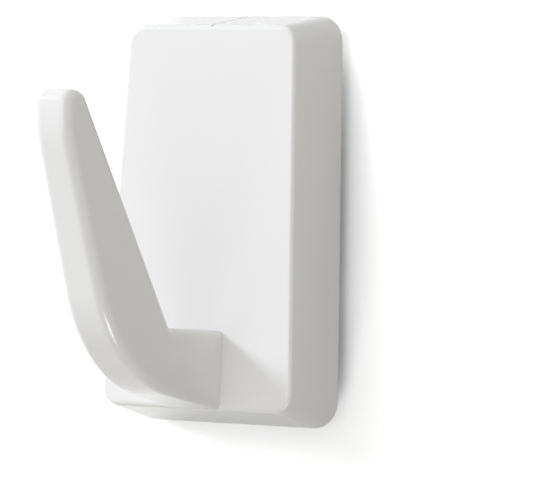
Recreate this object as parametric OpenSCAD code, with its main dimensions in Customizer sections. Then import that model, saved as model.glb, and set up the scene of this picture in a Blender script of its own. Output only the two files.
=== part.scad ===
// Adhesive wall hook: a moulded hook cover that slides down over a mounting plate,
// which a stretch-release foam strip holds to the wall.
// The wall is the plane y = 0, the hook reaches towards -y, and the origin is the centre
// of the strip's sticky wall face. All sizes are in millimetres.

/* [Strip] */
// Width of the strip
strip_w = 20; // [14:0.5:22]
// Length of the sticky part of the strip
strip_l = 46; // [40:0.5:60]
// Thickness of the foam core
foam_t = 1.5; // [1:0.1:2.5]
// Thickness of each adhesive layer
adhesive_t = 0.15; // [0.1:0.01:0.3]
// Thickness of each film on the pull tab
liner_t = 0.12; // [0.06:0.01:0.15]
// Corner radius at the strip's upper end
strip_top_r = 1.5; // [0.5:0.1:4]
// Corner radius at the end of the pull tab
tab_end_r = 4; // [1:0.1:6]
// Height of the end of the pull tab above the bottom of the cover
tab_set_back = 2; // [1:0.1:5]

/* [Mounting plate] */
// Border of the plate around the upper and lower end of the strip
plate_margin = 1; // [0.5:0.1:3]
// Thickness of the plate's flat sheet
plate_t = 1.8; // [1.2:0.1:2.2]
// Thickness of the plate's upright rim and of its ribs
plate_rim_t = 1.6; // [1:0.1:2.5]
// Corner radius of the plate
plate_corner_r = 2; // [0.8:0.1:4]
// Length of each side lug, along the slide
lug_l = 6.5; // [4:0.1:8]
// How far each lug stands out from the plate's side
lug_out = 2; // [1.2:0.1:2.6]
// Thickness of each lug
lug_t = 1.5; // [1:0.1:2]
// Slope of the lead-in at each end of a lug, as a length along the slide
lug_lead = 0.8; // [0.3:0.1:1.5]
// Height of the upper pair of lugs above the plate's middle
upper_lug_z = 14; // [10:0.5:16]
// Depth of the lower pair of lugs below the plate's middle
lower_lug_z = 15; // [10:0.5:17]

/* [Hook cover] */
// Width of the cover's rear outline along its top
cover_top_w = 35.6; // [33:0.1:44]
// Width of the cover's rear outline along its bottom
cover_bottom_w = 40.8; // [36:0.1:50]
// Height of the cover above the plate's top edge
cover_above = 5.5; // [5:0.1:8]
// Height of the cover below the plate's lower edge, for the pull tab and the slide
cover_below = 12.5; // [11:0.1:20]
// Depth of the cover from its rear rim to its front face
cover_d = 11.3; // [9:0.1:16]
// Inward lean of each side, from the rear rim to the front face
side_lean = 1.8; // [0.5:0.1:3]
// Inward lean of the top
top_lean = 2.4; // [0.5:0.1:3.5]
// Inward lean of the bottom
bottom_lean = 2.3; // [0.5:0.1:3.5]
// Corner radius of the outline at the rear rim
rear_corner_r = 4.4; // [3:0.1:8]
// Corner radius of the outline at the front face
front_corner_r = 3; // [1.8:0.1:6]
// Radius of the edge around the front face
front_edge_r = 0.7; // [0.4:0.1:1.5]
// Radius of the outer edge of the rear rim
rear_edge_r = 0.4; // [0.2:0.05:0.8]
// Thickness of the cover's side, top and bottom walls
wall_t = 2.2; // [1.6:0.1:2.6]
// Thickness of the cover's front wall
front_wall_t = 2.4; // [1.6:0.1:3]
// Thickness of each inward ledge that holds the cover behind a lug
ledge_t = 1.5; // [1:0.1:2]
// Width of each stop that rests on the plate's top edge
stop_w = 3; // [1.5:0.1:5]
// Distance between neighbouring stops
stop_pitch = 8; // [6:0.1:9]
// Thickness of the stiffening ribs inside the cover
rib_t = 1.5; // [1:0.1:2.5]
// Distance between the two upright ribs behind the arm
rib_pitch = 7.4; // [5:0.1:10]
// Width of the parting line on the cover's top
parting_w = 0.45; // [0.2:0.05:0.6]
// Depth of the parting line
parting_t = 0.25; // [0.1:0.01:0.3]

/* [Hook arm] */
// Reach of the arm in front of the cover's front face
arm_reach = 41.2; // [34:0.1:50]
// Height of the arm from the lower end of its root to its tip
arm_h = 48.5; // [42:0.1:56]
// Height of the arm's root on the front face
arm_root_h = 12.7; // [9:0.1:16]
// Width of the arm at its root
arm_root_w = 10.2; // [7:0.1:14]
// Width of the arm at its tip
arm_tip_w = 6.8; // [5:0.1:8]
// Length of the flat floor of the hook, from the front face to the arm
throat_l = 12.9; // [9:0.1:16]
// Radius of the inner corner between the floor and the arm
throat_r = 0.8; // [0.4:0.1:3]
// Lean of the arm's front, in degrees from upright
front_lean = 21.7; // [16:0.1:26]
// Lean of the arm's inner face, in degrees from upright
inner_lean = 33.7; // [28:0.1:36]
// Rise of the arm's underside towards the front, in degrees
underside_rise = 9.5; // [4:0.1:14]
// Radius of the bend between the underside and the front
bend_r = 25; // [15:0.5:28]
// Height of the upright front at the tip
nose_h = 5.8; // [5:0.1:8]
// Radius of the bend between the leaning front and the upright tip
nose_r = 17.5; // [8:0.5:19]
// Radius of the tip's front edge
tip_front_r = 2.2; // [2.1:0.1:2.4]
// Radius of the tip's inner edge
tip_inner_r = 2.6; // [2.1:0.1:3]
// Radius of the arm's long edges, from the throat to the tip
arm_edge_r = 1.7; // [1:0.1:2]
// Radius of the arm's long edges at its root
root_edge_r = 1.2; // [0.5:0.1:1.6]

/* [Clearances] */
// Sliding clearance between the cover and the plate
slide_gap = 0.3; // [0.2:0.05:0.5]
// Step from the plane of the plate's back to the cover's rear rim
rim_gap = 0.3; // [0.2:0.05:0.8]
// Step from the cover's rear rim to its inward ledges
ledge_step = 0.3; // [0.2:0.05:0.6]
// Free space between the plate's front and the cover's stiffening ribs
rib_gap = 0.8; // [0.4:0.1:2]

/* [Hidden] */

$fn = 48;
// Steps along each rounded corner and along each rounded edge
corner_steps = 9;
edge_steps = 4;
// Smallest corner radius left inside a wall
least_r = 0.4;
// Overshoot of a cut past the face that it opens
over = 1;

// Depths from the wall, measured towards the front
strip_t = foam_t + 2 * adhesive_t;
ledge_back = strip_t + rim_gap + ledge_step;
lug_back = ledge_back + ledge_t + slide_gap;
plate_front = lug_back + lug_t;
rim_depth = strip_t + rim_gap;
face_depth = rim_depth + cover_d;

// Heights
plate_h = strip_l + 2 * plate_margin;
plate_top = plate_h / 2;
cover_top = plate_top + cover_above;
cover_bottom = -plate_top - cover_below;
cover_h = cover_top - cover_bottom;
tab_end = cover_bottom + tab_set_back;
root_z = cover_bottom + bottom_lean;
floor_z = root_z + arm_root_h;
tip_z = root_z + arm_h;

// Share of the cover's depth that lies behind a point at this depth from the rear rim
function depth_share(d) = d / cover_d;

// Outline of the cover at a depth from its rear rim: top, bottom, and half width at a height
function top_at(d) = cover_top - top_lean * depth_share(d);
function bottom_at(d) = cover_bottom + bottom_lean * depth_share(d);
function rear_half_w(z) =
    (cover_bottom_w + (cover_top_w - cover_bottom_w) * (z - cover_bottom) / cover_h) / 2;
function half_w_at(z, d) = rear_half_w(z) - side_lean * depth_share(d);
function corner_r_at(d) = rear_corner_r + (front_corner_r - rear_corner_r) * depth_share(d);

// The plate fills the cover's cavity up to the sides of its upper lugs
upper_lug_top = upper_lug_z + lug_l / 2;
lug_reach = half_w_at(upper_lug_top, plate_front - rim_depth) - wall_t - slide_gap;
plate_half_w = lug_reach - lug_out;

function unit(v) = v / norm(v);
function turned(v, a) = [v.x * cos(a) - v.y * sin(a), v.x * sin(a) + v.y * cos(a)];

// Point where the line from a along u crosses the line from b along v
function crossing(a, u, b, v) = a + u * cross(b - a, v) / cross(u, v);

// Arc that rounds corner b of the outline a, b, c, as [point, outward normal] pairs.
// The outline runs anticlockwise, so a right turn is an inner corner.
function corner_arc(a, b, c, r, steps) =
    let (u = unit(a - b), v = unit(c - b), half = acos(u * v) / 2)
    let (centre = b + unit(u + v) * r / sin(half))
    let (from = unit(b + u * r / tan(half) - centre), side = sign(cross(b - a, c - b)))
    [for (k = [0:steps])
        let (dir = turned(from, side * (180 - 2 * half) * k / steps))
        [centre + r * dir, side * dir]];

// Closed anticlockwise outline with every corner rounded by its own radius
function rounded(corners, radii, steps) =
    let (n = len(corners))
    [for (i = [0:n - 1])
        each corner_arc(corners[(i + n - 1) % n], corners[i], corners[(i + 1) % n], radii[i], steps)];

// Solid skinned over a row of closed rings with the same even number of points.
// Each end is closed by zipping the first half of its ring to the second half.
module loft(rings) {
    n = len(rings[0]);
    last = (len(rings) - 1) * n;
    first_cap = [for (i = [0:n / 2 - 2])
        each [[i, i + 1, n - 1 - i], [i + 1, n - 2 - i, n - 1 - i]]];
    last_cap = [for (i = [0:n / 2 - 2])
        each [[last + i, last + n - 1 - i, last + i + 1],
              [last + i + 1, last + n - 1 - i, last + n - 2 - i]]];
    sides = [for (k = [0:n:last - n], i = [0:n - 1])
        let (a = k + i, b = k + (i + 1) % n)
        each [[a, a + n, b + n], [a, b + n, b]]];
    polyhedron([for (ring = rings) each ring], concat(first_cap, last_cap, sides));
}

// Ring of the cover at a depth from the rear rim, drawn in from its outer skin by inset
function cover_ring(d, inset) =
    let (high = top_at(d) - inset, low = bottom_at(d) + inset)
    let (high_x = half_w_at(high, d) - inset, low_x = half_w_at(low, d) - inset)
    let (r = max(corner_r_at(d) - inset, least_r))
    let (corners = [[low_x, low], [high_x, high], [-high_x, high], [-low_x, low]])
    [for (p = rounded(corners, [r, r, r, r], corner_steps))
        [p[0].x, -rim_depth - d, p[0].y]];

// Outer form of the cover, with its rear and front edges rounded
module cover_form() {
    rear = [for (k = [0:edge_steps])
        let (a = 90 - 90 * k / edge_steps)
        cover_ring(rear_edge_r * (1 - sin(a)), rear_edge_r * (1 - cos(a)))];
    front = [for (k = [0:edge_steps])
        let (a = 90 * k / edge_steps)
        cover_ring(cover_d - front_edge_r * (1 - sin(a)), front_edge_r * (1 - cos(a)))];
    loft(concat(rear, front));
}

// Hollow behind the cover's walls, open at the rear
module cover_cavity() {
    loft([cover_ring(-over, wall_t), cover_ring(cover_d - front_wall_t, wall_t)]);
}

// Outline of the arm from the side, as distance in front of the front face against height.
// Its root is sunk into the front wall.
sunk = -front_wall_t + slide_gap;
front_dir = [sin(front_lean), cos(front_lean)];
inner_dir = [sin(inner_lean), cos(inner_lean)];
under_dir = [cos(underside_rise), sin(underside_rise)];
arm_root = [0, root_z];
nose = [arm_reach, tip_z - nose_h];
throat = [throat_l, floor_z];
along = [1, 0];
tip_line = [0, tip_z];
sunk_r = root_edge_r + least_r;
arm_corners = [
    arm_root + under_dir * sunk / under_dir.x,
    crossing(arm_root, under_dir, nose, front_dir),
    nose,
    [arm_reach, tip_z],
    crossing(throat, inner_dir, tip_line, along),
    throat,
    [sunk, floor_z]
];
arm_radii = [sunk_r, bend_r, nose_r, tip_front_r, tip_inner_r, throat_r, sunk_r];
arm_outline = rounded(arm_corners, arm_radii, corner_steps);

// Half width of the arm at a distance in front of the front face
function arm_half_w(y) = (arm_root_w + (arm_tip_w - arm_root_w) * y / arm_reach) / 2;

// Radius of the arm's long edges at a distance in front of the front face
function edge_r_at(y) =
    root_edge_r + (arm_edge_r - root_edge_r) * min(max(y / throat_l, 0), 1);

// Side outline of the arm at one turn of its rounded long edges: 0 on a side face, 90 at full outline
function arm_ring(side, turn) =
    [for (p = arm_outline)
        let (r = edge_r_at(p[0].x), q = p[0] - r * (1 - sin(turn)) * p[1])
        [side * (arm_half_w(q.x) - r * (1 - cos(turn))), -face_depth - q.x, q.y]];

// The arm, as side outlines lofted across its width, with its long edges rounded
module arm() {
    turns = [for (k = [0:edge_steps]) 90 * k / edge_steps];
    right = [for (turn = turns) arm_ring(1, turn)];
    left = [for (k = [edge_steps:-1:0]) arm_ring(-1, turns[k])];
    loft(concat(right, left));
}

// Block between two depths from the wall
module block(x0, x1, near, far, z0, z1) {
    translate([x0, -far, z0]) cube([x1 - x0, far - near, z1 - z0]);
}

// Middle of the top wall, bottom wall or side wall over a range of depths from the wall
function mid_top(near, far) = (top_at(near - rim_depth) - wall_t + top_at(far - rim_depth)) / 2;
function mid_bottom(near, far) =
    (bottom_at(near - rim_depth) + wall_t + bottom_at(far - rim_depth)) / 2;
function mid_side(z, near, far) =
    (half_w_at(z, near - rim_depth) - wall_t + half_w_at(z, far - rim_depth)) / 2;

// Ledges that hold the cover behind the plate's lugs
module ledges() {
    far = ledge_back + ledge_t;
    for (z = [upper_lug_z, -lower_lug_z], side = [-1, 1]) {
        reach = mid_side(z, ledge_back, far);
        inner = plate_half_w + slide_gap;
        block(side > 0 ? inner : -reach, side > 0 ? reach : -inner, ledge_back, far,
              z - lug_l / 2, z + lug_l / 2);
    }
}

// Stops under the cover's top, which rest on the plate's top edge
module stops() {
    near = rim_depth + ledge_step;
    far = plate_front + slide_gap;
    for (k = [-1:1])
        block(k * stop_pitch - stop_w / 2, k * stop_pitch + stop_w / 2, near, far,
              plate_top, mid_top(near, far));
}

// Upright and level ribs behind the front wall
module stiffeners() {
    near = plate_front + rib_gap;
    far = face_depth - front_wall_t / 2;
    for (x = [-rib_pitch / 2, rib_pitch / 2])
        block(x - rib_t / 2, x + rib_t / 2, near, far, mid_bottom(near, far), mid_top(near, far));
    for (z = [root_z + arm_root_h / 2, floor_z + rib_t, plate_top / 2]) {
        reach = mid_side(z, near, far);
        block(-reach, reach, near, far, z - rib_t / 2, z + rib_t / 2);
    }
}

// Fine line that the mould's halves leave along the middle of the cover's top
module parting_line() {
    slope = atan2(top_lean, cover_d);
    run = norm([cover_d, top_lean]);
    translate([0, -rim_depth, cover_top])
        rotate([slope, 0, 0])
            translate([-parting_w / 2, -run - over, -parting_t])
                cube([parting_w, run + 2 * over, parting_t + over]);
}

// Moulded cover and hook arm in one piece
module hook_cover() {
    color("white") {
        difference() {
            cover_form();
            cover_cavity();
            parting_line();
        }
        arm();
        ledges();
        stops();
        stiffeners();
    }
}

// Upright rounded slab between two depths from the wall
module slab(half_w, z0, z1, r, near, far) {
    translate([0, -near, 0])
        rotate([90, 0, 0])
            linear_extrude(far - near)
                union() {
                    translate([-half_w, z0 + r]) square([2 * half_w, z1 - z0 - 2 * r]);
                    translate([-half_w + r, z0]) square([2 * half_w - 2 * r, z1 - z0]);
                    for (x = [-half_w + r, half_w - r], z = [z0 + r, z1 - r])
                        translate([x, z]) circle(r);
                }
}

// Side lug with sloping ends that lead the cover's ledge behind it
module lug() {
    half = lug_l / 2;
    translate([0, -lug_back, 0])
        rotate([90, 0, 0])
            linear_extrude(lug_t)
                polygon([[-plate_rim_t / 2, -half], [lug_out - lug_lead, -half],
                         [lug_out, lug_lead - half], [lug_out, half - lug_lead],
                         [lug_out - lug_lead, half], [-plate_rim_t / 2, half]]);
}

// Plate behind the cover: a flat sheet with an upright rim, ribs and four side lugs
module mounting_plate() {
    sheet_front = strip_t + plate_t;
    pocket_half_w = plate_half_w - plate_rim_t;
    pocket_top = plate_top - plate_rim_t;
    pocket_r = max(plate_corner_r - plate_rim_t, least_r);
    color("whitesmoke") {
        difference() {
            slab(plate_half_w, -plate_top, plate_top, plate_corner_r, strip_t, plate_front);
            slab(pocket_half_w, -pocket_top, pocket_top, pocket_r, sheet_front, plate_front + over);
        }
        block(-plate_rim_t / 2, plate_rim_t / 2, strip_t + plate_t / 2, plate_front,
              -plate_top + plate_rim_t / 2, plate_top - plate_rim_t / 2);
        for (z = [upper_lug_z, -lower_lug_z]) {
            block(-plate_half_w + plate_rim_t / 2, plate_half_w - plate_rim_t / 2,
                  strip_t + plate_t / 2, plate_front, z - plate_rim_t / 2, z + plate_rim_t / 2);
            for (side = [0, 1])
                mirror([side, 0, 0]) translate([plate_half_w, 0, z]) lug();
        }
    }
}

// Upright strip layer with its own corner radius at each end
module layer(z0, z1, low_r, high_r, near, far) {
    half_w = strip_w / 2;
    translate([0, -near, 0])
        rotate([90, 0, 0])
            linear_extrude(far - near)
                union() {
                    translate([-half_w, z0 + low_r]) square([strip_w, z1 - z0 - low_r - high_r]);
                    translate([-half_w + high_r, z0 + low_r])
                        square([strip_w - 2 * high_r, z1 - z0 - low_r]);
                    translate([-half_w + low_r, z0])
                        square([strip_w - 2 * low_r, z1 - z0 - high_r]);
                    for (side = [-1, 1]) {
                        translate([side * (half_w - low_r), z0 + low_r]) circle(low_r);
                        translate([side * (half_w - high_r), z1 - high_r]) circle(high_r);
                    }
                }
}

// Stretchy foam core of the strip, which runs on into the pull tab
module foam_core() {
    color("ivory")
        layer(tab_end, strip_l / 2, tab_end_r, strip_top_r, adhesive_t, adhesive_t + foam_t);
}

// Sticky layer on the wall side of the strip
module wall_adhesive() {
    color("gainsboro")
        sticky_layer(0);
}

// Sticky layer on the plate side of the strip
module plate_adhesive() {
    color("gainsboro")
        sticky_layer(adhesive_t + foam_t);
}

// Sticky layer over the strip above the pull tab
module sticky_layer(near) {
    half_w = strip_w / 2;
    translate([0, -near, 0])
        rotate([90, 0, 0])
            linear_extrude(adhesive_t)
                union() {
                    translate([-half_w, -strip_l / 2]) square([strip_w, strip_l - strip_top_r]);
                    translate([-half_w + strip_top_r, -strip_l / 2])
                        square([strip_w - 2 * strip_top_r, strip_l]);
                    for (side = [-1, 1])
                        translate([side * (half_w - strip_top_r), strip_l / 2 - strip_top_r])
                            circle(strip_top_r);
                }
}

// Dry film over one face of the pull tab
module tab_liner(near) {
    half_w = strip_w / 2;
    translate([0, -near, 0])
        rotate([90, 0, 0])
            linear_extrude(liner_t)
                union() {
                    translate([-half_w, tab_end + tab_end_r])
                        square([strip_w, -strip_l / 2 - tab_end - tab_end_r]);
                    translate([-half_w + tab_end_r, tab_end])
                        square([strip_w - 2 * tab_end_r, -strip_l / 2 - tab_end]);
                    for (side = [-1, 1])
                        translate([side * (half_w - tab_end_r), tab_end + tab_end_r])
                            circle(tab_end_r);
                }
}

// Film on the wall side of the pull tab
module wall_tab_liner() {
    color("white") tab_liner(adhesive_t - liner_t);
}

// Film on the front of the pull tab
module front_tab_liner() {
    color("white") tab_liner(adhesive_t + foam_t);
}

hook_cover();
mounting_plate();
foam_core();
wall_adhesive();
plate_adhesive();
wall_tab_liner();
front_tab_liner();
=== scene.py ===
"""Adhesive wall hook: a gloss white hook cover on its mounting plate and strip, against a wall."""

import math

import bpy
import numpy as np
from mathutils import Matrix, Vector


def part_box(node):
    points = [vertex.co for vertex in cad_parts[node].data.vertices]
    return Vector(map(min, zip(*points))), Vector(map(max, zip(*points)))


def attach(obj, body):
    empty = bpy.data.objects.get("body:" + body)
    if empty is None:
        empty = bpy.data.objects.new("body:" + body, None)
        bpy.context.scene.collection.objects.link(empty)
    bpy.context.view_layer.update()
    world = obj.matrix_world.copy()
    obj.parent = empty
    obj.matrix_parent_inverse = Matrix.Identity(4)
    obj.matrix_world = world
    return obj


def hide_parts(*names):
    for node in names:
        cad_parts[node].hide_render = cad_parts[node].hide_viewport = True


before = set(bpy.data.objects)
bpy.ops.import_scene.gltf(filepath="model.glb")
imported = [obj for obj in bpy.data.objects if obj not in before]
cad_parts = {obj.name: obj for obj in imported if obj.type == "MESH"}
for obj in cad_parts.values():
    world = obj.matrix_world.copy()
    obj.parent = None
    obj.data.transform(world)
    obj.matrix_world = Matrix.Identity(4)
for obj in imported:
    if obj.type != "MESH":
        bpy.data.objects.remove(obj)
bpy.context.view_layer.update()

# Camera
# A long lens looks at the hook from its right, nearly level, and is rolled a little.
# Its aim is counted from the middle of the cover's rear rim.
view_azimuth = math.radians(35.0)
view_elevation = math.radians(-1.14)
view_roll = math.radians(2.616)
view_distance = 0.8
picture_width = 536
pixels_per_metre = 6196.0
aim_right = 0.00397
aim_up = -0.00383

cover_low, cover_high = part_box("hook_cover")
rim_middle = Vector((0.0, cover_high.y, (cover_low.z + cover_high.z) / 2))
view_back = Vector((
    math.sin(view_azimuth) * math.cos(view_elevation),
    -math.cos(view_azimuth) * math.cos(view_elevation),
    math.sin(view_elevation),
))
level_right = Vector((math.cos(view_azimuth), math.sin(view_azimuth), 0.0))
level_up = view_back.cross(level_right)
view_right = level_right * math.cos(view_roll) + level_up * math.sin(view_roll)
view_up = level_up * math.cos(view_roll) - level_right * math.sin(view_roll)
aim = rim_middle + view_right * aim_right + view_up * aim_up

camera_data = bpy.data.cameras.new("camera")
camera_data.sensor_width = 36.0
camera_data.lens = view_distance * pixels_per_metre * camera_data.sensor_width / picture_width
camera = bpy.data.objects.new("camera", camera_data)
turned = Matrix((view_right, view_up, view_back)).transposed().to_4x4()
camera.matrix_world = Matrix.Translation(aim + view_back * view_distance) @ turned
bpy.context.scene.collection.objects.link(camera)
bpy.context.scene.camera = camera
bpy.context.scene.view_settings.view_transform = "Standard"

# Wall
# A plain pale wall right behind the strip, painted to look neutral in the warm light on it.
# It looks paler than the light it throws back, so that its white doesn't brighten the hook,
# and it is seen from its front only, so that the hook's back can be looked at through it.
wall_clear = 0.00005
wall_half = 0.5
wall_throwback = 0.22
wall_mirrored = 0.7
wall_white = 0.96
wall_tint = (0.98, 1.0, 1.04)


def mesh_object(name, points, faces):
    """Object at the origin whose mesh has points (n, 3) and faces (m, 3) or (m, 4), shaded smooth."""
    mesh = bpy.data.meshes.new(name)
    mesh.from_pydata(points.reshape(-1, 3).tolist(), [], faces.tolist())
    mesh.shade_smooth()
    made = bpy.data.objects.new(name, mesh)
    bpy.context.scene.collection.objects.link(made)
    return made


def finish(name, **sockets):
    """Principled material with constant sockets set directly: the material, its tree and its shader."""
    made = bpy.data.materials.new(name)
    made.use_nodes = True
    shader = made.node_tree.nodes["Principled BSDF"]
    for socket, value in sockets.items():
        shader.inputs[socket.replace("_", " ")].default_value = value
    return made, made.node_tree, shader


def node(tree, kind, sockets, **settings):
    """Shader node with its settings made and its sockets filled by values or by other outputs."""
    made = tree.nodes.new("ShaderNode" + kind)
    for setting, value in settings.items():
        setattr(made, setting, value)
    for socket, value in sockets.items():
        if isinstance(value, bpy.types.NodeSocket):
            tree.links.new(value, made.inputs[socket])
        else:
            made.inputs[socket].default_value = value
    return made


wall_points = np.array([
    (-wall_half, wall_clear, -wall_half), (wall_half, wall_clear, -wall_half),
    (wall_half, wall_clear, wall_half), (-wall_half, wall_clear, wall_half)])
wall = mesh_object("wall", wall_points, np.array([[0, 1, 2, 3]]))
wall.visible_shadow = False

wall_finish, tree, shader = finish("pale wall", Roughness=0.9, Specular_IOR_Level=0.0)
path = node(tree, "LightPath", {}).outputs
thrown = node(tree, "MapRange", {
    "Value": path["Is Glossy Ray"], "To Min": wall_throwback, "To Max": wall_mirrored})
seen = node(tree, "Math", {
    0: path["Is Camera Ray"], 1: path["Is Transmission Ray"]}, operation="MAXIMUM")
paleness = node(tree, "MapRange", {
    "Value": seen.outputs[0], "To Min": thrown.outputs["Result"], "To Max": wall_white})
paint = node(tree, "VectorMath", {0: paleness.outputs["Result"], 1: wall_tint}, operation="MULTIPLY")
tree.links.new(paint.outputs["Vector"], shader.inputs["Base Color"])
clear = node(tree, "BsdfTransparent", {})
behind = node(tree, "NewGeometry", {}).outputs["Backfacing"]
one_sided = node(tree, "MixShader", {0: behind, 1: shader.outputs[0], 2: clear.outputs[0]})
tree.links.new(one_sided.outputs[0], tree.nodes["Material Output"].inputs["Surface"])
wall.data.materials.append(wall_finish)

# Light
# The wall lamps, as warm as the even surround, light the wall alone, and slightly cool lamps
# light all but the wall. The glint lamp only shows in reflections, and a weak lamp
# behind the wall shows the hook's back.
surround = 0.61
surround_tint = (1.02, 1.0, 0.95, 1.0)
lamp_tint = (0.975, 1.0, 1.075)
lamp_distance = 1.5
# Each lamp's direction from the middle of the cover's rear rim, its size and its power
lamps = {
    "front_lamp": ((0.0, -1.0, 0.0), 1.0, 4.3),
    "key_lamp": ((-0.73, -0.54, 0.41), 0.3, 10.8),
    "top_lamp": ((0.0, -0.30, 0.95), 1.5, 2.2),
    "glint_lamp": ((0.46, -0.36, -0.81), 0.45, 5.0),
    "upper_wall_lamp": ((-0.30, -0.18, 0.94), 0.6, 54.0),
    "lower_wall_lamp": ((0.0, -0.40, -0.92), 0.75, 21.5),
    "left_wall_lamp": ((-0.73, -0.54, 0.41), 0.75, 19.7),
}
back_distance = 0.9
back_size = 0.5
back_power = 1.5

world = bpy.data.worlds.new("pale surround")
bpy.context.scene.world = world
world.use_nodes = True
tree = world.node_tree
path = node(tree, "LightPath", {}).outputs
seen = node(tree, "Math", {0: path["Is Camera Ray"], 1: path["Is Glossy Ray"]}, operation="MAXIMUM")
seen = node(tree, "Math", {0: seen.outputs[0], 1: path["Is Transmission Ray"]}, operation="MAXIMUM")
even = node(tree, "Background", {"Color": surround_tint, "Strength": surround})
white = node(tree, "Background", {"Color": (1.0, 1.0, 1.0, 1.0), "Strength": 1.0})
both = node(tree, "MixShader", {0: seen.outputs[0], 1: even.outputs[0], 2: white.outputs[0]})
tree.links.new(both.outputs[0], tree.nodes["World Output"].inputs["Surface"])


def soft_lamp(name, place, size, power):
    """Square area lamp at a place, turned towards the hook."""
    lamp_data = bpy.data.lights.new(name, "AREA")
    lamp_data.size = size
    lamp_data.energy = power
    lamp = bpy.data.objects.new(name, lamp_data)
    facing = (rim_middle - place).to_track_quat("-Z", "Y").to_matrix().to_4x4()
    lamp.matrix_world = Matrix.Translation(place) @ facing
    bpy.context.scene.collection.objects.link(lamp)
    return lamp


wall_alone = bpy.data.collections.new("wall alone")
wall_alone.objects.link(wall)
all_but_wall = bpy.data.collections.new("all but the wall")
all_but_wall.objects.link(wall)
all_but_wall.collection_objects[0].light_linking.link_state = "EXCLUDE"
for lamp_name, (direction, size, power) in lamps.items():
    lamp_place = rim_middle + Vector(direction).normalized() * lamp_distance
    lamp = soft_lamp(lamp_name, lamp_place, size, power)
    lamp.visible_diffuse = lamp_name != "glint_lamp"
    if lamp_name.endswith("wall_lamp"):
        lamp.data.color = surround_tint[:3]
        lamp.light_linking.receiver_collection = wall_alone
    else:
        lamp.data.color = lamp_tint
        lamp.light_linking.receiver_collection = all_but_wall
soft_lamp("back_lamp", rim_middle + Vector((0.0, back_distance, 0.0)), back_size, back_power)

# Foam core
# The strip's core is a tongue of stretchy white closed-cell foam, die-cut from a sheet.
# Its cut edges draw in a little, and its lower end runs on as the pull tab.
tab_end_r = 0.004
strip_top_r = 0.0015
foam_waist = 0.0001
foam_edge_r = 0.00012
slab_steps = 8
slab_edge_points = 5
slab_side_points = 7


def unit(vectors):
    """The vectors, each at length 1."""
    return vectors / np.linalg.norm(vectors, axis=-1, keepdims=True)


def rounded_outline(corners, radii, steps):
    """Points and outward normals, each (..., n, 2), of an anticlockwise polygon with rounded corners.

    Each corner becomes an arc that touches both of its sides. The arc's centre lies on the corner's
    bisector, radius / sin(half the corner's angle) from it, and an inner corner turns the other way."""
    corners = np.asarray(corners, float)
    radii = np.asarray(radii, float)[..., None]
    before = unit(np.roll(corners, 1, -2) - corners)
    after = unit(np.roll(corners, -1, -2) - corners)
    half = np.arccos(np.clip((before * after).sum(-1, keepdims=True), -1, 1)) / 2
    centre = corners + unit(before + after) * radii / np.sin(half)
    start = unit(corners + before * radii / np.tan(half) - centre)
    side = np.sign(before[..., 1] * after[..., 0] - before[..., 0] * after[..., 1])[..., None]
    turn = side * (math.pi - 2 * half) * np.linspace(0, 1, steps + 1)
    spoke = np.stack([
        start[..., :1] * np.cos(turn) - start[..., 1:] * np.sin(turn),
        start[..., :1] * np.sin(turn) + start[..., 1:] * np.cos(turn),
    ], -1)
    points = centre[..., None, :] + radii[..., None] * spoke
    normals = side[..., None] * spoke
    flat = corners.shape[:-2] + (-1, 2)
    return points.reshape(flat), normals.reshape(flat)


def skin(name, rings):
    """Closed surface over a stack of rings (k, n, 3), with n even.

    Quads join each ring to the next, and each end is closed by zipping the first half of its ring
    to the second half. The faces are turned to point outwards."""
    count, n = rings.shape[:2]
    here = np.arange(n)
    beside = np.roll(here, -1)
    row = n * np.arange(count - 1)[:, None]
    walls = np.stack([row + here, row + beside, row + n + beside, row + n + here], -1).reshape(-1, 4)
    zipped = np.arange(n // 2 - 1)
    first = np.stack([zipped, n - 1 - zipped, n - 2 - zipped, zipped + 1], -1)
    last = first[:, ::-1] + n * (count - 1)
    faces = np.concatenate([walls, first, last])
    a, b, c, d = (rings.reshape(-1, 3)[faces[:, k]] for k in range(4))
    volume = (np.cross(b, c) * a).sum() + (np.cross(c, d) * a).sum()
    return mesh_object(name, rings, faces if volume > 0 else faces[:, ::-1])


def slab_rings(corners, radii, near, far, edge_r, steps=slab_steps, waist=0.0):
    """Rings (k, n, 3) of an upright slab between two depths in front of the wall.

    The slab's outline lies in x and z. It is drawn in along its normals by edge_r * (1 - sin) over
    a quarter turn at both faces, and by a half sine wave of height waist between them."""
    outline, normals = rounded_outline(corners, radii, steps)
    turn = np.linspace(0, math.pi / 2, slab_edge_points)
    edge_in = edge_r * (1 - np.sin(turn))
    edge_on = edge_r * (1 - np.cos(turn))
    middle = np.linspace(near + edge_r, far - edge_r, slab_side_points)[1:-1]
    depth = np.concatenate([near + edge_on, middle, far - edge_on[::-1]])
    inset = np.concatenate([edge_in, 0 * middle, edge_in[::-1]])
    inset = inset + waist * np.sin(math.pi * (depth - near) / (far - near))
    drawn = outline - inset[:, None, None] * normals
    rings = np.empty(drawn.shape[:2] + (3,))
    rings[..., 0] = drawn[..., 0]
    rings[..., 1] = -depth[:, None]
    rings[..., 2] = drawn[..., 1]
    return rings


def upright(half_w, low, high):
    """Corners of an upright rectangle, anticlockwise from its lower right."""
    return [(half_w, low), (half_w, high), (-half_w, high), (-half_w, low)]


foam_low, foam_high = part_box("foam_core")
strip_half_w = foam_high.x
foam_rings = slab_rings(
    upright(strip_half_w, foam_low.z, foam_high.z), [tab_end_r, strip_top_r, strip_top_r, tab_end_r],
    -foam_high.y, -foam_low.y, foam_edge_r, waist=foam_waist)
foam = skin("foam_strip", foam_rings)

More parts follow.
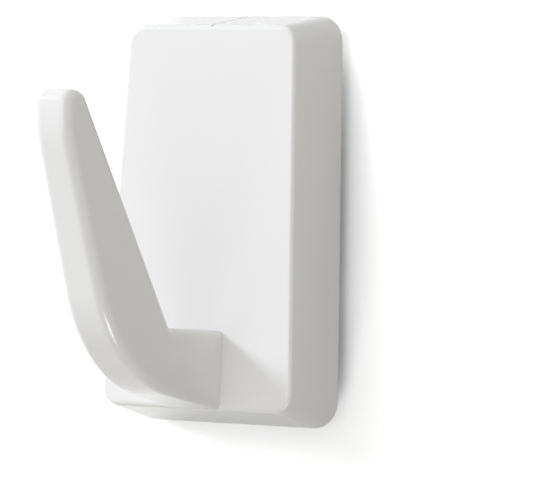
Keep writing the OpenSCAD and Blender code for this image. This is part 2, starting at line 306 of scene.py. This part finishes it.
foam_finish, tree, shader = finish("closed-cell foam", Roughness=0.75, Subsurface_Weight=0.15)
shader.inputs["Subsurface Radius"].default_value = (0.0006, 0.0006, 0.0005)
place = node(tree, "TexCoord", {}).outputs["Object"]
cells = node(tree, "TexVoronoi", {"Vector": place, "Scale": 4500.0}).outputs["Distance"]
drift = node(tree, "TexNoise", {"Vector": place, "Scale": 220.0, "Detail": 3.0}).outputs["Fac"]
tint = node(tree, "ValToRGB", {"Fac": drift})
tint.color_ramp.elements[0].color = (0.78, 0.77, 0.72, 1.0)
tint.color_ramp.elements[1].color = (0.88, 0.87, 0.83, 1.0)
pits = node(tree, "Bump", {"Height": cells, "Strength": 0.5, "Distance": 0.00008})
tree.links.new(tint.outputs["Color"], shader.inputs["Base Color"])
tree.links.new(pits.outputs["Normal"], shader.inputs["Normal"])
foam.data.materials.append(foam_finish)
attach(foam, "wall_side")
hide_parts("foam_core")

# Sticky layers
# A thin coat of clear rubbery adhesive covers the foam on both faces above the pull tab.
# It is rolled on, so it keeps a faint mottle and a tacky sheen.
film_edge_r = 0.00002
square_r = 2 * film_edge_r

sticky_finish, tree, shader = finish("tacky adhesive", Coat_Weight=0.3, Coat_Roughness=0.25)
place = node(tree, "TexCoord", {}).outputs["Object"]
mottle = node(tree, "TexNoise", {"Vector": place, "Scale": 900.0, "Detail": 4.0}).outputs["Fac"]
tint = node(tree, "ValToRGB", {"Fac": mottle})
tint.color_ramp.elements[0].color = (0.74, 0.74, 0.68, 1.0)
tint.color_ramp.elements[1].color = (0.84, 0.84, 0.80, 1.0)
sheen = node(tree, "MapRange", {"Value": mottle, "To Min": 0.28, "To Max": 0.5})
ripple = node(tree, "Bump", {"Height": mottle, "Strength": 0.25, "Distance": 0.00004})
tree.links.new(tint.outputs["Color"], shader.inputs["Base Color"])
tree.links.new(sheen.outputs["Result"], shader.inputs["Roughness"])
tree.links.new(ripple.outputs["Normal"], shader.inputs["Normal"])

for name in ("wall_adhesive", "plate_adhesive"):
    low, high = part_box(name)
    radii = [square_r, strip_top_r, strip_top_r, square_r]
    corners = upright(strip_half_w, low.z, high.z)
    rings = slab_rings(corners, radii, -high.y, -low.y, film_edge_r)
    layer = skin("sticky_" + name.split("_")[0], rings)
    layer.data.materials.append(sticky_finish)
    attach(layer, "wall_side")
    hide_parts(name)

# Tab films
# A dry satin film covers both faces of the pull tab, so that fingers can take hold of it.
# It is embossed with fine level grip lines.
film_finish, tree, shader = finish("satin film", Specular_IOR_Level=0.45)
place = node(tree, "TexCoord", {}).outputs["Object"]
grip = node(tree, "TexWave", {"Vector": place, "Scale": 320.0, "Distortion": 0.6},
            wave_type="BANDS", bands_direction="Z").outputs["Fac"]
haze = node(tree, "TexNoise", {"Vector": place, "Scale": 500.0, "Detail": 3.0}).outputs["Fac"]
tint = node(tree, "ValToRGB", {"Fac": haze})
tint.color_ramp.elements[0].color = (0.82, 0.82, 0.82, 1.0)
tint.color_ramp.elements[1].color = (0.88, 0.88, 0.87, 1.0)
sheen = node(tree, "MapRange", {"Value": haze, "To Min": 0.35, "To Max": 0.5})
lines = node(tree, "Bump", {"Height": grip, "Strength": 0.35, "Distance": 0.00005})
tree.links.new(tint.outputs["Color"], shader.inputs["Base Color"])
tree.links.new(sheen.outputs["Result"], shader.inputs["Roughness"])
tree.links.new(lines.outputs["Normal"], shader.inputs["Normal"])

for name in ("wall_tab_liner", "front_tab_liner"):
    low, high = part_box(name)
    radii = [tab_end_r, square_r, square_r, tab_end_r]
    corners = upright(strip_half_w, low.z, high.z)
    rings = slab_rings(corners, radii, -high.y, -low.y, film_edge_r)
    film = skin("tab_film_" + name.split("_")[0], rings)
    film.data.materials.append(film_finish)
    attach(film, "wall_side")
    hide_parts(name)

# Mounting plate
# The plate is a tray moulded in matt white plastic, stiffened by ribs and stuck to the strip.
# Two lugs on each side catch behind the cover's ledges once the cover is pushed down.
plate_sheet_t = 0.0018
plate_rim_t = 0.0016
plate_corner_r = 0.002
plate_edge_r = 0.00025
lug_out = 0.002
lug_l = 0.0065
lug_t = 0.0015
lug_lead = 0.0008
lug_heights = (0.014, -0.015)
least_r = 0.0004
bite = 0.0008
plate_steps = 8
section_steps = 4
block_steps = 3
plate_crease = 40


def section_path(section, radii, steps):
    """Points (k, 2) along a wall's section of inset and depth, with its corners rounded.

    The section's first and last points only aim its two open ends and are left out."""
    rounded, _ = rounded_outline(section, radii, steps)
    return rounded[steps + 1:-steps - 1]


def outline_rings(corners, corner_r, depth, steps):
    """Rings (k, n, 3): at each depth in front of the wall, one four-cornered rounded outline."""
    outline, _ = rounded_outline(corners, np.repeat(corner_r[:, None], 4, 1), steps)
    rings = np.empty(outline.shape[:2] + (3,))
    rings[..., 0] = outline[..., 0]
    rings[..., 1] = -depth[:, None]
    rings[..., 2] = outline[..., 1]
    return rings


def joined(base, tool, operation="UNION"):
    """Adds the tool's solid to the base's mesh, or cuts it away, and removes the tool."""
    change = base.modifiers.new("change", "BOOLEAN")
    change.operation = operation
    change.solver = "EXACT"
    change.object = tool
    bpy.context.view_layer.update()
    evaluated = base.evaluated_get(bpy.context.evaluated_depsgraph_get())
    mesh = bpy.data.meshes.new_from_object(evaluated)
    base.modifiers.clear()
    base.data = mesh
    bpy.data.objects.remove(tool)


def block(left, right, near, far, low, high, edge_r):
    """Block between two places across, two depths in front of the wall and two heights."""
    corners = [(right, low), (right, high), (left, high), (left, low)]
    return skin("block", slab_rings(corners, [2 * edge_r] * 4, near, far, edge_r, block_steps))


def moulding(piece, name, finish_used, crease):
    """Names a moulded piece, shades it smooth up to the crease angle, and gives it its finish."""
    piece.name = name
    piece.data.shade_smooth()
    piece.data.set_sharp_from_angle(angle=math.radians(crease))
    even = piece.modifiers.new("even shading", "WEIGHTED_NORMAL")
    even.keep_sharp = True
    even.weight = 100
    piece.data.materials.clear()
    piece.data.materials.append(finish_used)


plate_low, plate_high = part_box("mounting_plate")
plate_half_w = plate_high.x - lug_out
plate_back = -plate_high.y
plate_front = -plate_low.y
sheet_front = plate_back + plate_sheet_t


def plate_rings(depth, inset):
    """Rings of the plate's upright rounded rectangle at each depth, drawn in by each inset."""
    across = plate_half_w - inset
    high = plate_high.z - inset
    corners = np.stack([
        np.stack([across, -high], -1), np.stack([across, high], -1),
        np.stack([-across, high], -1), np.stack([-across, -high], -1)], 1)
    return outline_rings(corners, np.maximum(plate_corner_r - inset, least_r), depth, plate_steps)


tray_path = section_path(
    [(2 * plate_rim_t, plate_back), (0, plate_back), (0, plate_front),
     (plate_rim_t, plate_front), (plate_rim_t, sheet_front), (2 * plate_rim_t, sheet_front)],
    [plate_edge_r] * 6, section_steps)
plate = skin("plate", plate_rings(tray_path[:, 1], tray_path[:, 0]))
joined(plate, block(
    -plate_rim_t / 2, plate_rim_t / 2, sheet_front - bite, plate_front,
    plate_low.z + bite, plate_high.z - bite, plate_edge_r))
lug_half = lug_l / 2
lug_corners = np.array([
    (plate_half_w - bite, -lug_half), (plate_high.x - lug_lead, -lug_half),
    (plate_high.x, lug_lead - lug_half), (plate_high.x, lug_half - lug_lead),
    (plate_high.x - lug_lead, lug_half), (plate_half_w - bite, lug_half)])
for lug_z in lug_heights:
    joined(plate, block(
        bite - plate_half_w, plate_half_w - bite, sheet_front - bite, plate_front,
        lug_z - plate_rim_t / 2, lug_z + plate_rim_t / 2, plate_edge_r))
    lug = slab_rings(lug_corners + (0, lug_z), [2 * plate_edge_r] * 6,
                     plate_front - lug_t, plate_front, plate_edge_r, block_steps)
    joined(plate, skin("lug", lug))
    joined(plate, skin("lug", lug * (-1, 1, 1)))

matt_finish, tree, shader = finish("matt white moulding", Specular_IOR_Level=0.4)
place = node(tree, "TexCoord", {}).outputs["Object"]
grain = node(tree, "TexNoise", {"Vector": place, "Scale": 5200.0, "Detail": 3.0}).outputs["Fac"]
flow = node(tree, "TexNoise", {"Vector": place, "Scale": 90.0, "Detail": 2.0}).outputs["Fac"]
tint = node(tree, "ValToRGB", {"Fac": flow})
tint.color_ramp.elements[0].color = (0.77, 0.77, 0.76, 1.0)
tint.color_ramp.elements[1].color = (0.82, 0.82, 0.81, 1.0)
sheen = node(tree, "MapRange", {"Value": grain, "To Min": 0.45, "To Max": 0.65})
sparked = node(tree, "Bump", {"Height": grain, "Strength": 0.3, "Distance": 0.00004})
tree.links.new(tint.outputs["Color"], shader.inputs["Base Color"])
tree.links.new(sheen.outputs["Result"], shader.inputs["Roughness"])
tree.links.new(sparked.outputs["Normal"], shader.inputs["Normal"])
moulding(plate, "mounting_plate_moulding", matt_finish, plate_crease)
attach(plate, "wall_side")
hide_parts("mounting_plate")

# Hook cover
# Cover and arm are one gloss white moulding: a hollow tapered shell with an upswept arm.
# Ledges inside it hook behind the plate's lugs, and stops under its top rest on the plate.
cover_top_w = 0.0356
cover_bottom_w = 0.0408
cover_d = 0.0113
side_lean = 0.0018
top_lean = 0.0024
bottom_lean = 0.0023
rear_corner_r = 0.0044
front_corner_r = 0.003
front_edge_r = 0.0007
rear_edge_r = 0.0004
inner_edge_r = 0.0003
pocket_edge_r = 0.0006
wall_t = 0.0022
front_wall_t = 0.0024
cover_above = 0.0055
cover_below = 0.0125
cover_steps = 9
cover_crease = 38
rim_depth = -cover_high.y
face_depth = rim_depth + cover_d
cover_top = plate_high.z + cover_above
cover_bottom = plate_low.z - cover_below


def top_at(depth):
    """Height of the cover's top at a depth in front of the wall: it falls linearly by top_lean."""
    return cover_top - top_lean * (depth - rim_depth) / cover_d


def bottom_at(depth):
    """Height of the cover's bottom at a depth in front of the wall: it rises linearly by bottom_lean."""
    return cover_bottom + bottom_lean * (depth - rim_depth) / cover_d


def half_w_at(height, depth):
    """Half width of the cover: linear in height, and less by side_lean at the front face."""
    share = (height - cover_bottom) / (cover_top - cover_bottom)
    rear_w = cover_bottom_w + (cover_top_w - cover_bottom_w) * share
    return rear_w / 2 - side_lean * (depth - rim_depth) / cover_d


def cover_rings(depth, inset):
    """Rings of the cover's tapered outline at each depth, drawn in by each inset.

    The corner radius changes linearly with depth, less the inset."""
    high = top_at(depth) - inset
    low = bottom_at(depth) + inset
    high_x = half_w_at(high, depth) - inset
    low_x = half_w_at(low, depth) - inset
    corners = np.stack([
        np.stack([low_x, low], -1), np.stack([high_x, high], -1),
        np.stack([-high_x, high], -1), np.stack([-low_x, low], -1)], 1)
    corner_r = rear_corner_r + (front_corner_r - rear_corner_r) * (depth - rim_depth) / cover_d
    return outline_rings(corners, np.maximum(corner_r - inset, least_r), depth, cover_steps)


pocket_depth = face_depth - front_wall_t
shell_path = section_path(
    [(2 * wall_t, face_depth), (0, face_depth), (0, rim_depth),
     (wall_t, rim_depth), (wall_t, pocket_depth), (2 * wall_t, pocket_depth)],
    [least_r, front_edge_r, rear_edge_r, inner_edge_r, pocket_edge_r, least_r], section_steps)
cover = skin("cover", cover_rings(shell_path[:, 1], shell_path[:, 0]))

# The fine line that the mould's halves leave along the middle of the top.
# Its sides flare, and it is parting_w wide where it meets the top.
parting_w = 0.00045
parting_t = 0.00025
parting_depth = np.array([rim_depth - bite, face_depth + bite])
parting = np.empty((2, 4, 3))
parting[..., 0] = np.array([-0.3, 0.3, 0.7, -0.7]) * parting_w
parting[..., 1] = -parting_depth[:, None]
parting[..., 2] = top_at(parting_depth)[:, None] + np.array([-1, -1, 1, 1]) * parting_t
joined(cover, skin("parting_line", parting), "DIFFERENCE")

# The arm: a tapered bar with a flat floor, an upswept front and rounded long edges
arm_reach = 0.0412
arm_h = 0.0485
arm_root_h = 0.0127
arm_root_w = 0.0102
arm_tip_w = 0.0068
throat_l = 0.0129
throat_r = 0.0008
front_lean = math.radians(21.7)
inner_lean = math.radians(33.7)
underside_rise = math.radians(9.5)
bend_r = 0.025
nose_h = 0.0058
nose_r = 0.0175
tip_front_r = 0.0022
tip_inner_r = 0.0026
arm_edge_r = 0.0017
root_edge_r = 0.0012
arm_sunk = 0.0021
arm_steps = 15
arm_edge_steps = 8
root_z = cover_bottom + bottom_lean
floor_z = root_z + arm_root_h
tip_z = root_z + arm_h


def crossing(a, u, b, v):
    """Point where the line from a along u crosses the line from b along v."""
    a, u, b, v = (np.asarray(w, float) for w in (a, u, b, v))
    gap = b - a
    return a + u * (gap[0] * v[1] - gap[1] * v[0]) / (u[0] * v[1] - u[1] * v[0])


under_dir = (math.cos(underside_rise), math.sin(underside_rise))
front_dir = (math.sin(front_lean), math.cos(front_lean))
inner_dir = (math.sin(inner_lean), math.cos(inner_lean))
nose = (arm_reach, tip_z - nose_h)
throat = (throat_l, floor_z)
arm_corners = [
    (-arm_sunk, root_z - arm_sunk * math.tan(underside_rise)),
    crossing((0, root_z), under_dir, nose, front_dir),
    nose,
    (arm_reach, tip_z),
    crossing(throat, inner_dir, (0, tip_z), (1, 0)),
    throat,
    (-arm_sunk, floor_z)]
sunk_r = root_edge_r + least_r
arm_radii = [sunk_r, bend_r, nose_r, tip_front_r, tip_inner_r, throat_r, sunk_r]


def arm_rings(steps, edge_steps):
    """Rings (k, n, 3) of the arm: its side outline lofted across its width.

    At a turn a from each side face the outline is drawn in along its normals by r * (1 - sin a) and
    lies r * (1 - cos a) within the side face. The edge radius r grows linearly from the root to the
    throat, and the arm's half width falls linearly from the root to the tip."""
    outline, normals = rounded_outline(arm_corners, arm_radii, steps)
    edge_r = root_edge_r + (arm_edge_r - root_edge_r) * np.clip(outline[:, 0] / throat_l, 0, 1)
    turn = np.linspace(0, math.pi / 2, edge_steps + 1)[:, None]
    drawn = outline - (edge_r * (1 - np.sin(turn)))[..., None] * normals
    half_w = (arm_root_w + (arm_tip_w - arm_root_w) * drawn[..., 0] / arm_reach) / 2
    across = half_w - edge_r * (1 - np.cos(turn))
    right = np.stack([across, -face_depth - drawn[..., 0], drawn[..., 1]], -1)
    return np.concatenate([right, right[::-1] * (-1, 1, 1)])


joined(cover, skin("arm", arm_rings(arm_steps, arm_edge_steps)))

# Ledges behind the plate's lugs, stops over the plate's top edge, and ribs behind the front wall
ledge_t = 0.0015
ledge_step = 0.0003
stop_w = 0.003
stop_pitch = 0.008
rib_t = 0.0015
rib_pitch = 0.0074
rib_gap = 0.0008
slide_gap = 0.0003
rib_edge_r = 0.0002


def mid_side(height, near, far):
    """Place across of the middle of the side wall at a height, over a range of depths."""
    return (half_w_at(height, near) - wall_t + half_w_at(height, far)) / 2


ledge_near = rim_depth + ledge_step
ledge_far = ledge_near + ledge_t
for lug_z in lug_heights:
    inner = plate_half_w + slide_gap
    outer = mid_side(lug_z, ledge_near, ledge_far)
    for left, right in ((inner, outer), (-outer, -inner)):
        joined(cover, block(
            left, right, ledge_near, ledge_far, lug_z - lug_half, lug_z + lug_half, rib_edge_r))

stop_far = plate_front + slide_gap
stop_top = (top_at(ledge_near) - wall_t + top_at(stop_far)) / 2
for middle in (-stop_pitch, 0, stop_pitch):
    joined(cover, block(
        middle - stop_w / 2, middle + stop_w / 2, ledge_near, stop_far,
        plate_high.z, stop_top, rib_edge_r))

rib_near = plate_front + rib_gap
rib_far = face_depth - front_wall_t / 2
rib_low = (bottom_at(rib_near) + wall_t + bottom_at(rib_far)) / 2
rib_high = (top_at(rib_near) - wall_t + top_at(rib_far)) / 2
for middle in (-rib_pitch / 2, rib_pitch / 2):
    joined(cover, block(
        middle - rib_t / 2, middle + rib_t / 2, rib_near, rib_far, rib_low, rib_high, rib_edge_r))
for height in (root_z + arm_root_h / 2, floor_z + rib_t, plate_high.z / 2):
    reach = mid_side(height, rib_near, rib_far)
    joined(cover, block(
        -reach, reach, rib_near, rib_far, height - rib_t / 2, height + rib_t / 2, rib_edge_r))

gloss_finish, tree, shader = finish("gloss white moulding", Specular_IOR_Level=0.5)
place = node(tree, "TexCoord", {}).outputs["Object"]
flow = node(tree, "TexNoise", {"Vector": place, "Scale": 55.0, "Detail": 3.0}).outputs["Fac"]
peel = node(tree, "TexNoise", {"Vector": place, "Scale": 1400.0, "Detail": 2.0}).outputs["Fac"]
tint = node(tree, "ValToRGB", {"Fac": flow})
tint.color_ramp.elements[0].color = (0.795, 0.795, 0.795, 1.0)
tint.color_ramp.elements[1].color = (0.825, 0.825, 0.825, 1.0)
sheen = node(tree, "MapRange", {"Value": flow, "To Min": 0.1, "To Max": 0.16})
peeled = node(tree, "Bump", {"Height": peel, "Strength": 0.05, "Distance": 0.00005})
tree.links.new(tint.outputs["Color"], shader.inputs["Base Color"])
tree.links.new(sheen.outputs["Result"], shader.inputs["Roughness"])
tree.links.new(peeled.outputs["Normal"], shader.inputs["Normal"])
moulding(cover, "hook_cover_moulding", gloss_finish, cover_crease)
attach(cover, "cover")
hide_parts("hook_cover")
